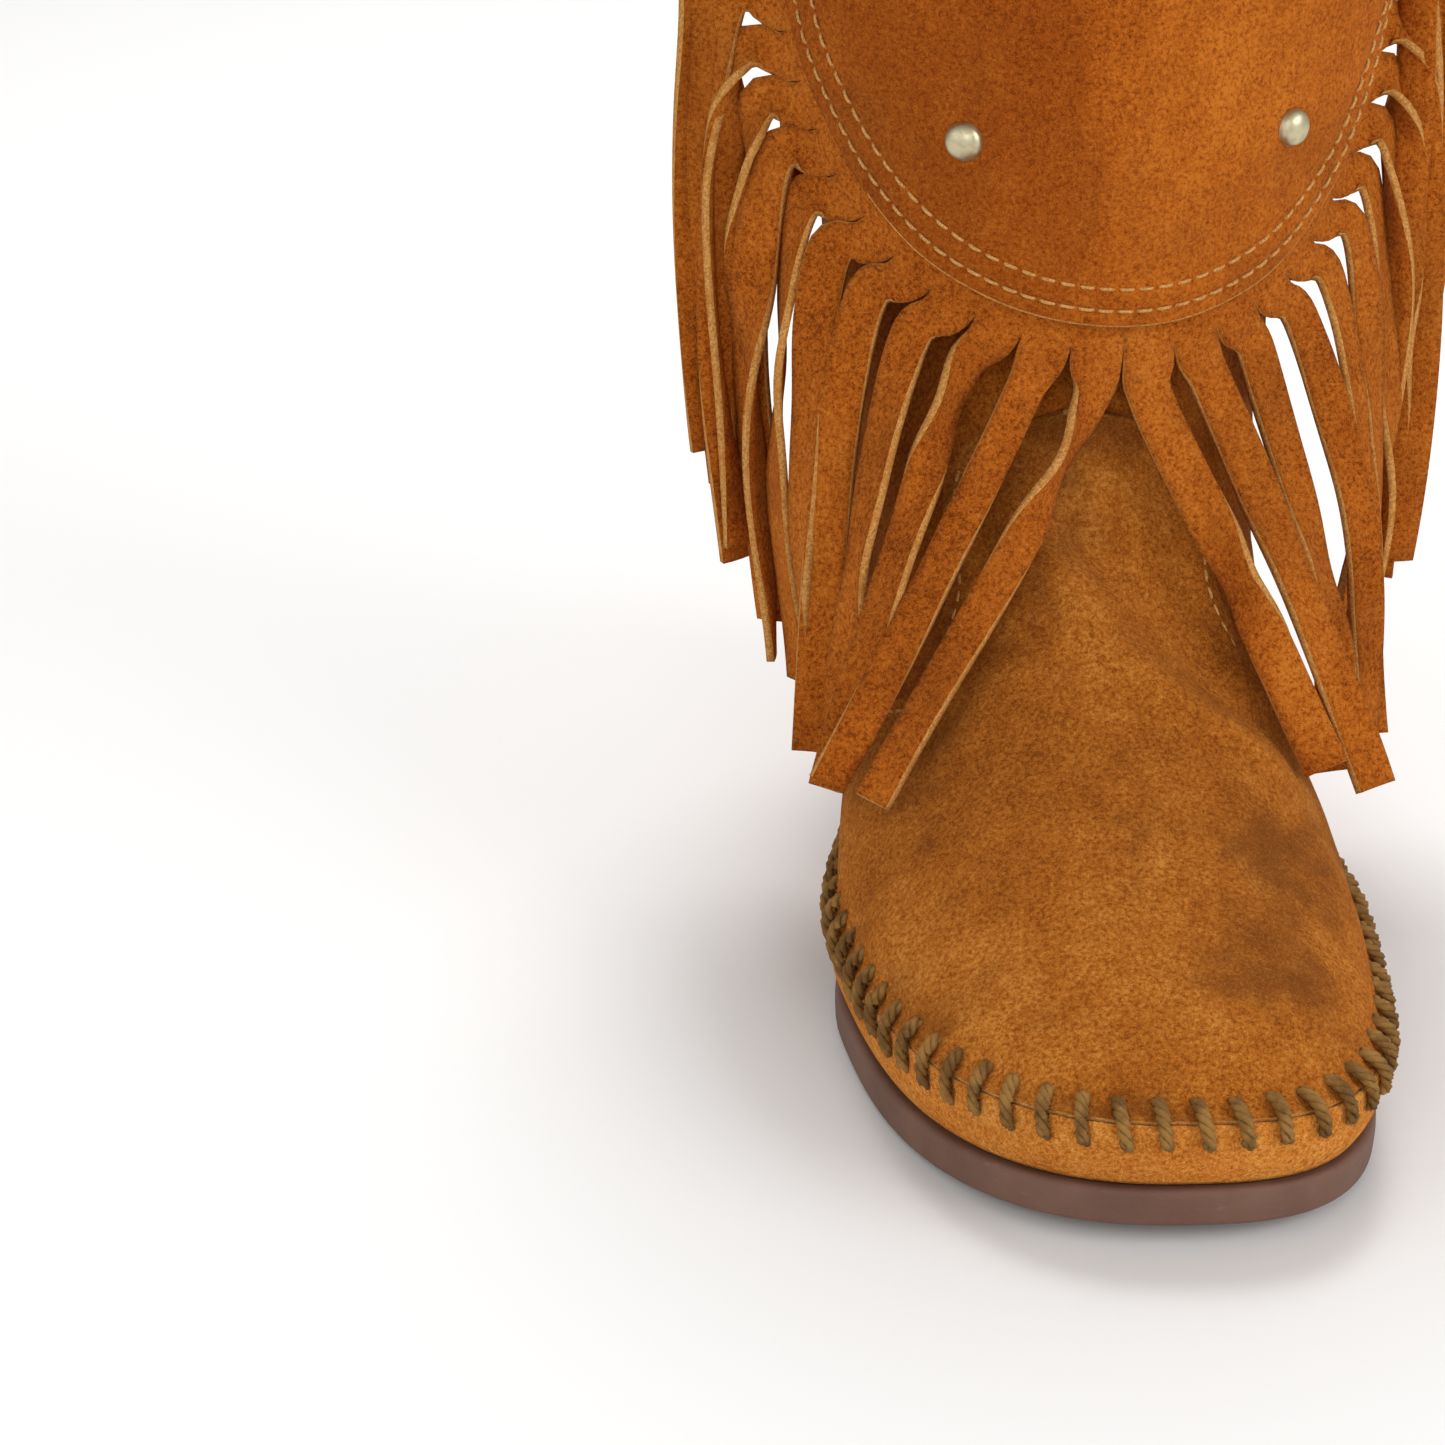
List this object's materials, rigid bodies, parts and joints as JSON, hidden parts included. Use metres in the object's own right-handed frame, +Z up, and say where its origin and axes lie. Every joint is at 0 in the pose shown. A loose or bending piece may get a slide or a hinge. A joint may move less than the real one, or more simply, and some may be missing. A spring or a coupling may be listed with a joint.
{
  "type": "fringed moccasin boot",
  "caption": "Suede moccasin boot with a whipstitched toe, rubber sole, studded front flap that lifts, hanging fringes and a back zip.",
  "frame": {"origin": "on the flat underside of the sole, midway between the toe and the heel, on the boot's middle line", "axes": "+Z up out of the shaft, +Y towards the heel, +X towards the inner side of the foot"},
  "size_m": [0.1561, 0.2587, 0.2495],
  "materials": {
    "suede": "tan suede with a short mottled nap",
    "wrap_suede": "lighter, fuzzier suede",
    "lining_suede": "smooth split leather",
    "sole_rubber": "matte brown rubber",
    "board": "pressed fibre board",
    "waxed_cord": "twisted waxed cord",
    "stud_metal": "antique nickel",
    "zip_tape": "woven brown tape",
    "zip_metal": "antique brass"
  },
  "bodies": {
    "boot": {"outsole": "sole_rubber", "insole_board": "board", "footbed": "lining_suede", "toe_wrap": "wrap_suede", "plug": "suede", "whipstitch_cord": "waxed_cord", "inner_quarter": "suede", "outer_quarter": "suede", "heel_counter": "board", "counter_cover": "lining_suede", "back_stay": "suede", "top_binding": "suede", "inner_rear_fringe": "suede", "outer_rear_fringe": "suede", "zip_tape_inner": "zip_tape", "zip_tape_outer": "zip_tape", "zip_chain_inner": "zip_metal", "zip_chain_outer": "zip_metal", "zip_top_stop_inner": "zip_metal", "zip_top_stop_outer": "zip_metal", "zip_bottom_stop": "zip_metal"},
    "flap": {"front_flap": "suede", "inner_front_fringe": "suede", "outer_front_fringe": "suede", "inner_stud_cap": "stud_metal", "inner_stud_washer": "stud_metal", "outer_stud_cap": "stud_metal", "outer_stud_washer": "stud_metal"},
    "zip_slider": {"zip_slider": "zip_metal"},
    "zip_pull": {"zip_pull": "zip_metal"}
  },
  "joints": [
    {"name": "flap_lift", "type": "hinge", "parent": "boot", "child": "flap", "pos_m": [0, 0.003, 0.2385], "axis": [-1, 0, 0], "range_deg": [0, 95]},
    {"name": "zip_slide", "type": "slide", "parent": "boot", "child": "zip_slider", "axis": [0, 0, -1], "range_m": [0, 0.128]},
    {"name": "zip_pull_swing", "type": "hinge", "parent": "zip_slider", "child": "zip_pull", "pos_m": [0, 0.1248, 0.2301], "axis": [1, 0, 0], "range_deg": [0, 150]}
  ]
}
